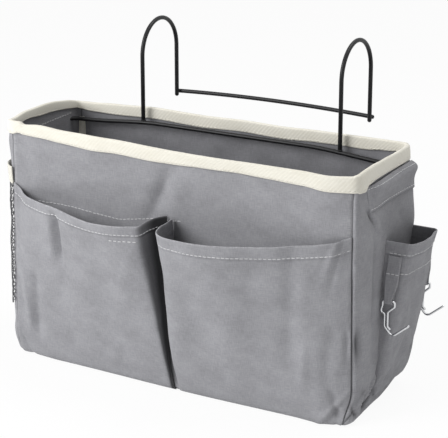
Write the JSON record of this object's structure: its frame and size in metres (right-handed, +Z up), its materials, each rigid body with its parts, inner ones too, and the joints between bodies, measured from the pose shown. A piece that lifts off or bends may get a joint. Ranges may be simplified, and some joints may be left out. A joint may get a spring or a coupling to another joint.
{
  "type": "bedside caddy",
  "caption": "Canvas bedside caddy on a wire frame with two rail hangers, front pockets, a net pocket and a side pocket with small hooks.",
  "frame": {"origin": "centre of the bag's base, on its underside", "axes": "+X to the right as seen from the front, -Y out of the front pockets, +Z up"},
  "size_m": [0.3763, 0.2065, 0.2828],
  "materials": {
    "canvas": "grey plain-woven canvas",
    "webbing": "cream twill tape",
    "elastic": "cream woven elastic",
    "net": "dark knitted net",
    "board": "covered board",
    "frame_paint": "black powder coat",
    "hook_chrome": "bright plated"
  },
  "bodies": {
    "caddy": {"front_panel": "canvas", "back_panel": "canvas", "left_panel": "canvas", "right_panel": "canvas", "bottom_panel": "canvas", "base_board": "board", "rim_binding": "webbing", "front_left_seam_tape": "webbing", "front_right_seam_tape": "webbing", "rear_left_seam_tape": "webbing", "rear_right_seam_tape": "webbing", "frame_wire": "frame_paint", "left_hanger": "frame_paint", "right_hanger": "frame_paint", "crossbar": "frame_paint", "left_sleeve": "canvas", "right_sleeve": "canvas", "left_front_pocket": "canvas", "right_front_pocket": "canvas", "net_pocket": "net", "net_elastic": "elastic", "side_pocket": "canvas", "front_strap": "canvas", "rear_strap": "canvas"},
    "front_hook_body": {"front_hook": "hook_chrome"},
    "rear_hook_body": {"rear_hook": "hook_chrome"}
  },
  "joints": [
    {"name": "front_hook_swing", "type": "hinge", "parent": "caddy", "child": "front_hook_body", "pos_m": [0.17449, -0.01014, 0.094], "axis": [-1, 0, 0], "range_deg": [0, 110]},
    {"name": "rear_hook_swing", "type": "hinge", "parent": "caddy", "child": "rear_hook_body", "pos_m": [0.17879, 0.0532, 0.0905], "axis": [1, 0, 0], "range_deg": [0, 110]}
  ]
}
